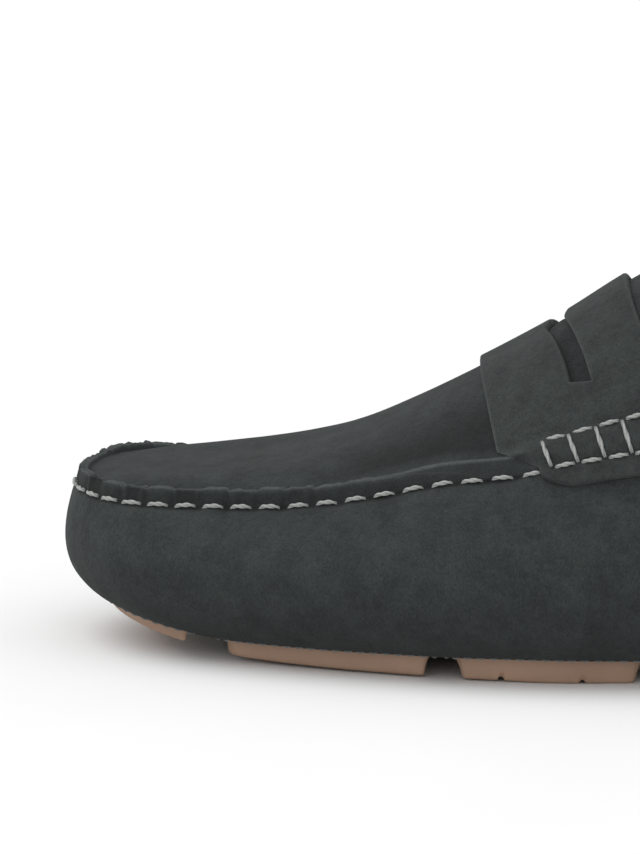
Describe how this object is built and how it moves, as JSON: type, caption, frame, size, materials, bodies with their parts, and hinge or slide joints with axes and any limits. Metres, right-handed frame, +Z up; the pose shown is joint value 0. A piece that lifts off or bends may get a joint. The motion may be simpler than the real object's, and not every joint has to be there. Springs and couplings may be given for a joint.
{
  "type": "loafer",
  "caption": "Left driving loafer: soft wrapped suede upper with a raised apron seam and a slotted saddle strap, on a rubber sole of separate grooved pads.",
  "frame": {"origin": "middle of the shoe's length and width, on the floor that it stands on", "axes": "+X from the toe to the heel, +Y from the outer side of the foot to its inner side, +Z up"},
  "size_m": [0.29, 0.1008, 0.0971],
  "materials": {
    "suede": "charcoal suede with a short nap",
    "strap_suede": "charcoal suede with a short nap, a little lighter",
    "rubber": "matt beige gum rubber",
    "insole_leather": "plain tan lining leather"
  },
  "bodies": {
    "root": {"upper": "suede", "strap": "strap_suede", "sole": "rubber", "insole": "insole_leather"}
  },
  "joints": []
}
